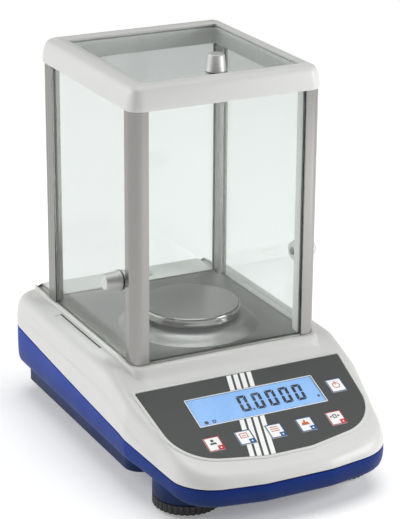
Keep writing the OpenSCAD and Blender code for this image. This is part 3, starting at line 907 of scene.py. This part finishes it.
def make_keys(looks):
    """White key caps with a coloured border, a coloured corner tab and a plain symbol."""
    a, b = KEY_SIZE[0] / 2, KEY_SIZE[1] / 2
    border = frame_shape(-a + 0.1, a - 0.1, -b + 0.1, b - 0.1, 0.5, 0.75, -0.02, 0.03)
    tab = block(a - 5.2, a - 0.1, -b + 0.1, -b + 4.9, -0.02, 0.035)
    dart = prism([(a - 3.9, -b + 2.5), (a - 2.3, -b + 1.3), (a - 2.3, -b + 3.7)], 0.03, 0.05)
    for name, (u, v) in KEYS.items():
        red = name in ("user", "tare")
        ink = looks["red_ink" if red else "blue_ink"]
        facts = {"body": f"key_{name}_body", "slot": "key_red" if red else "key_blue"}
        place = PANEL @ Matrix.Translation((u, v, 0))
        cap = blank(f"key_{name}_cap", prism(rounded(-a, a, -b, b, 0.5), -5.4, 0), place)
        soften(cap, 0.25, 60)
        bake(cap)
        settle(cap, looks["white_ink"], replaces=[f"key_{name}"], **facts)
        piece(f"key_{name}_border", border, place, ink, **facts)
        if name == "power":
            ring_shape = frame_shape(-3.2, 3.2, -3.2, 3.2, 3.15, 0.75, -0.02, 0.03)
            bar = block(-0.4, 0.4, 0.6, 4.6, -0.02, 0.05)
            piece("key_power_ring", ring_shape, place, looks["orange_ink"], **facts)
            piece("key_power_bar", bar, place, looks["orange_ink"], **facts)
            continue
        piece(f"key_{name}_tab", tab, place, ink, **facts)
        piece(f"key_{name}_dart", dart, place, looks["white_ink"], **facts)
        mark = join_prisms(mark_shapes(name), -0.02, 0.03)
        piece(f"key_{name}_mark", mark, place, looks["dark_ink" if red else "orange_ink"], **facts)


# ---------------------------------------- chamber

def make_posts(looks):
    """Four metal posts, grooved cover strips on the rear ones, and the seals that hold the panes."""
    corner = arc(73.6, -58, 9, -90, 0, 6)
    front = [(68.6, -67), *corner, (82.6, -52), (81, -52), (81, -56.5), (76, -56.5), (76, -52), (68.6, -52),
             (68.6, -60.8), (72.6, -60.8), (72.6, -65.2), (68.6, -65.2)]
    rear = [(72.5, 88.7), (76, 88.7), (76, 102.7), (72.5, 102.7), (72.5, 101.2), (74.2, 101.2), (74.2, 96.8),
            (72.5, 96.8)]
    trim = [(81, 88.7), (82.6, 88.7)]
    for y in (91.5, 95.7, 99.9):
        trim += arc(82.6, y, 0.7, 270, 90, 20)
    trim += [(82.6, 102.7), (81, 102.7)]
    liner = [(68.0, -60.95), (72.4, -60.95), (72.4, -60.83), (68.7, -60.83), (68.7, -52.1), (68.0, -52.1)]
    strips = (
        ("gasket", oblong(68.3, 68.7, -65.1, -64.7), "gasket"),
        ("liner", liner, "liner"),
        ("seal_inner", oblong(75.9, 76.15, 88.9, 102.5), "liner"),
        ("seal_outer", oblong(80.85, 81.1, 88.9, 102.5), "liner"),
    )
    bars = (("post_front", front, 0.3), ("post_rear", rear, 0.2), ("trim", trim, 0.15))
    for side in ("left", "right"):
        for name, points, soft in bars:
            shape = prism(on_side(points, side), 0, POST_H)
            piece(f"{name}_{side}_bar", shape, DECK, looks["anodised"], soft=soft, slot="anodised",
                  replaces=[f"{name}_{side}"])
        for name, points, look in strips:
            shape = prism(on_side(points, side), 1.6, POST_H - 0.1)
            piece(f"{name}_{side}", shape, DECK, looks[look], slot="anodised")


def make_cap(looks):
    """Rounded top frame, with a slot for the top door and grooves for the side doors."""
    form = Form([(72, -56.5, 12), (72, 101, 12)], step=5, pieces=2)
    side = smooth_path([(0.05, 0.8), (0, 2), (0.1, 4), (0.7, 8), (1.6, 12), (2.6, 14.8), (3.7, 16.6),
                        (5.2, 17.8), (7.5, 18.8), (9.2, 19.4), (11, 20)], 4)
    rings = [form.ring(0.9, 0), form.ring(0.35, 0.15), form.ring(0.12, 0.4)]
    rings += [form.ring(max(inset, 0), height) for inset, height in side]
    up = moved(0, 0, POST_H)
    obj = blank("cap_shell", loft(rings), up)
    combine(obj, prism(rounded(-67.5, 67.5, -57.5, 88, 1.5, 15), -1, 22), up, "DIFFERENCE")
    combine(obj, block(-71.4, 71.4, -58.9, 130, 14, 18.4), up, "DIFFERENCE")
    for s in (-1, 1):
        combine(obj, block(s * DOOR_X - 2.5, s * DOOR_X + 2.5, -56.5, 130, -1, 4.5), up, "DIFFERENCE")
    soften(obj, 0.35, 50)
    bake(obj)
    settle(obj, looks["cover_plastic"], slot="housing_white", replaces=["cap_frame"])


def make_panes(looks):
    """Fixed panes at the front and the back, and three that slide."""
    half = PANE / 2
    panes = [
        ("front", block(-72.2, 72.2, -65, -61, 1.5, POST_H), "base", "front_glass"),
        ("rear", block(-73.9, 73.9, 97, 101, 1.5, POST_H), "base", "rear_glass"),
    ]
    for side, x in (("left", -DOOR_X), ("right", DOOR_X)):
        shape = block(x - half, x + half, -55.8, 98, -2, POST_H + 4)
        panes.append((side, shape, f"{side}_door_body", f"{side}_door"))
    panes.append(("top", block(-71, 71, -58.5, 98, TOP_PANE, TOP_PANE + PANE), "top_door_body", "top_door"))
    for name, shape, body, node in panes:
        piece(f"pane_{name}", shape, DECK, looks["pane"], soft=0.4, slot="pane_glass", body=body,
              replaces=[node])


def make_grips(looks):
    """Turned grips with their inner discs."""
    grip = [(0, 0), (7.8, 0), (8.2, 0.4), (8.2, 1.3), (8.0, 1.7), (6.55, 12.6), (6.2, 13.5), (5.5, 14),
            (0, 14)]
    ring = [(6.2, 0.0), (8.35, 0.0), (8.45, 0.2), (8.35, 0.4), (6.2, 0.4)]
    disc = [(0, 0), (7.0, 0), (7.5, 0.5), (7.5, 2), (0, 2)]
    screw = [(0, -0.9), (2.6, -0.9), (3.2, -0.3), (3.2, 0.1), (0, 0.1)]
    outside = DOOR_X + PANE / 2
    places = {
        "left": moved(-outside, -38, 64) @ Matrix.Rotation(-math.pi / 2, 4, "Y"),
        "right": moved(outside, -38, 64) @ Matrix.Rotation(math.pi / 2, 4, "Y"),
        "top": moved(0, -44, TOP_PANE + PANE),
    }
    for name, place in places.items():
        facts = {"body": f"{name}_door_body", "slot": "aluminium"}
        inside = place @ Matrix.Translation((0, 0, -6))
        metal = looks["turned_metal"]
        piece(f"grip_{name}", lathe(grip, 64), place, metal, replaces=[f"{name}_knob"], **facts)
        piece(f"grip_ring_{name}", lathe(ring, 64), place, looks["rubber"], **facts)
        piece(f"disc_{name}", lathe(disc, 64), inside, metal, replaces=[f"{name}_washer"], **facts)
        facts["slot"] = "screw_steel"
        piece(f"disc_screw_{name}", lathe(screw, 32), inside, looks["screw_metal"], **facts)


def make_chamber_floor(looks):
    """Steel floor with its raised ring."""
    obj = blank("floor_sheet", block(-75, 75, -66.6, 103, 0, 1.5), DECK)
    combine(obj, lathe([(0, -1), (56.5, -1), (56.5, 3), (0, 3)], 128), DECK, "DIFFERENCE")
    for x in (-75, 75):
        combine(obj, block(x - 7, x + 7, -70, -51.8, -1, 3), DECK, "DIFFERENCE")
        combine(obj, block(x - 3, x + 3, 88.5, 110, -1, 3), DECK, "DIFFERENCE")
    soften(obj, 0.25, 50)
    bake(obj)
    settle(obj, looks["satin_steel"], slot="polished_metal", replaces=["floor_plate"])
    crest = smooth_path([(56.9, 1.45), (56.4, 1.8), (54.3, 3.4), (51, 6.3), (48, 8.1), (44, 8.9),
                         (38, 8.9)], 5)
    section = [(56.9, 0.6), *crest, (14, 8.9), (14, 7.4), (44, 7.2), (50, 4.4), (54, 0.6)]
    piece("floor_ring", lathe(section, 160), DECK, looks["ring_steel"], slot="polished_metal")


def make_pan(looks):
    """Round pan with a bright rim, a dark band of painted shadow under it and a hub."""
    facts = {"body": "pan_body", "slot": "steel"}
    disc = [(0, PAN_TOP - 1.4), (39.0, PAN_TOP - 1.4), (39.4, PAN_TOP - 0.5), (39.9, PAN_TOP - 0.06),
            (39.6, PAN_TOP), (0, PAN_TOP)]
    piece("pan_disc", lathe(disc, 160), DECK, looks["pan_steel"], replaces=["weighing_pan"], **facts)
    rim = smooth_path([(40.35, 12.7), (40.9, 12.55), (41.6, 12.9), (41.6, 15), (41.6, 17.4), (41.2, 18.6),
                       (40.4, 19.25), (39.6, 19.44)], 4)
    rim_section = [*rim, (39.2, 18.1), (40.2, 17.4), (40.4, 14)]
    piece("pan_rim", lathe(rim_section, 160), DECK, looks["bright_steel"], **facts)
    # dark band under the rim: painted shadow, a dark ring that stands for the shade the pan casts there
    skirt = [(36, 10.2), (38.8, 10.2), (38.8, 12.8), (36, 12.8)]
    piece("pan_shade_band", lathe(skirt, 96), DECK, looks["gasket"], **facts)
    hub = [(4.05, 11.6), (8, 11.6), (8, 18.1), (4.05, 18.1)]
    piece("pan_hub", lathe(hub, 64), DECK, looks["turned_metal"], **facts)


def make_rails(looks):
    """Channels that the side doors slide in, and a dark strip of painted shade along each recess beside them.
    """
    channel = [(75.2, -2.4), (81.8, -2.4), (81.8, 0), (81, 0), (81, -2.1), (76, -2.1), (76, 0), (75.2, 0)]
    turned = DECK @ Matrix.Rotation(math.pi / 2, 4, "X")
    # strip: a dark sheet in the recess along the deck's wall, painted shade where the wall's shadow gap falls
    strip = oblong(85.5, 86.2, -12.8, 68.8)
    for side in ("left", "right"):
        track = prism(on_side(channel, side), -136, 51.9)
        piece(f"track_{side}", track, turned, looks["rail_metal"], soft=0.15, slot="aluminium",
              replaces=[f"{side}_rail"])
        line = prism(on_side(strip, side), -3.62, -2.9)
        piece(f"recess_shade_strip_{side}", line, DECK, looks["gasket"], slot="dark_plastic")


# ---------------------------------------- feet and back

def wheel_plan(radius, flutes, depth):
    """Outline of a wheel with shallow flutes round its edge."""
    steps = 8
    points = []
    for k in range(flutes * steps):
        a = 2 * math.pi * k / (flutes * steps)
        dip = max(0.0, math.cos(a * flutes)) ** 1.5 * depth
        points.append(((radius - dip) * math.cos(a), (radius - dip) * math.sin(a)))
    return points


def thread_profile(turns=24, pitch=0.9):
    """Half section of a threaded stud, as rings of ridges."""
    profile = [(0, 0.02)]
    for k in range(turns):
        z = 7.9 + k * pitch
        profile += [(3.98, z), (3.55, z + pitch / 2)]
    return profile + [(3.98, 29.6), (3.4, 30), (0, 30)]


def make_feet(looks):
    """Two levelling wheels with their studs and pads, and two fixed rear feet."""
    wheel = prism(wheel_plan(27, 36, 1.1), 0, 7.8)
    pad = [(0, -2.8), (13.2, -2.8), (14, -2.0), (14, -0.2), (13.8, 0), (0, 0)]
    foot = [(0, 0), (11.3, 0), (12.5, 1.2), (12.5, 8.8), (0, 8.8)]
    for side, s in (("left", -1), ("right", 1)):
        place = moved(s * FRONT_FOOT[0], FRONT_FOOT[1], -90.2)
        rear = moved(s * REAR_FOOT[0], REAR_FOOT[1], -93)
        body = f"foot_{side}_body"
        piece(f"thumb_wheel_{side}", wheel, place, looks["black_plastic"], soft=0.5, body=body,
              slot="dark_plastic", replaces=[f"wheel_{side}"])
        piece(f"foot_pad_{side}", lathe(pad, 64), place, looks["rubber"], body=body, slot="foot_rubber",
              replaces=[f"pad_{side}"])
        piece(f"foot_stud_{side}", lathe(thread_profile(), 48), place, looks["screw_metal"], body=body,
              slot="screw_steel", replaces=[f"stud_{side}"])
        piece(f"rear_foot_{side}", lathe(foot, 64), rear, looks["rubber"], slot="foot_rubber",
              replaces=["rear_feet"] if side == "right" else ())


def carry_over(looks):
    """Materials for the CAD nodes that stay as they are."""
    kept = {
        "rear_plate": "rear_plastic",
        "display_module": "gasket",
        "display_board": "board",
        "key_domes": "bright_steel",
        "main_board": "board",
        "chassis": "cast_metal",
        "load_cell": "rail_metal",
        "cell_screws": "screw_metal",
        "pan_spindle": "turned_metal",
        "foot_bushes": "brass",
        "housing_screws": "screw_metal",
        "power_inlet": "black_plastic",
        "data_port": "bright_steel",
        "port_standoffs": "brass",
        "level_cup": "turned_metal",
        "level_vial": "level_fluid",
    }
    for node, look in kept.items():
        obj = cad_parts[node]
        obj.data.materials.clear()
        obj.data.materials.append(looks[look])


def main():
    make_camera()
    make_floor()
    make_world()
    make_lights()
    scene.view_settings.view_transform = "Standard"
    looks = make_materials()
    seam_insets = make_cover(looks)
    make_tub(looks, seam_insets)
    make_film(looks)
    make_stripes(looks)
    make_display(looks)
    make_keys(looks)
    make_posts(looks)
    make_cap(looks)
    make_panes(looks)
    make_grips(looks)
    make_chamber_floor(looks)
    make_pan(looks)
    make_rails(looks)
    make_feet(looks)
    carry_over(looks)


main()
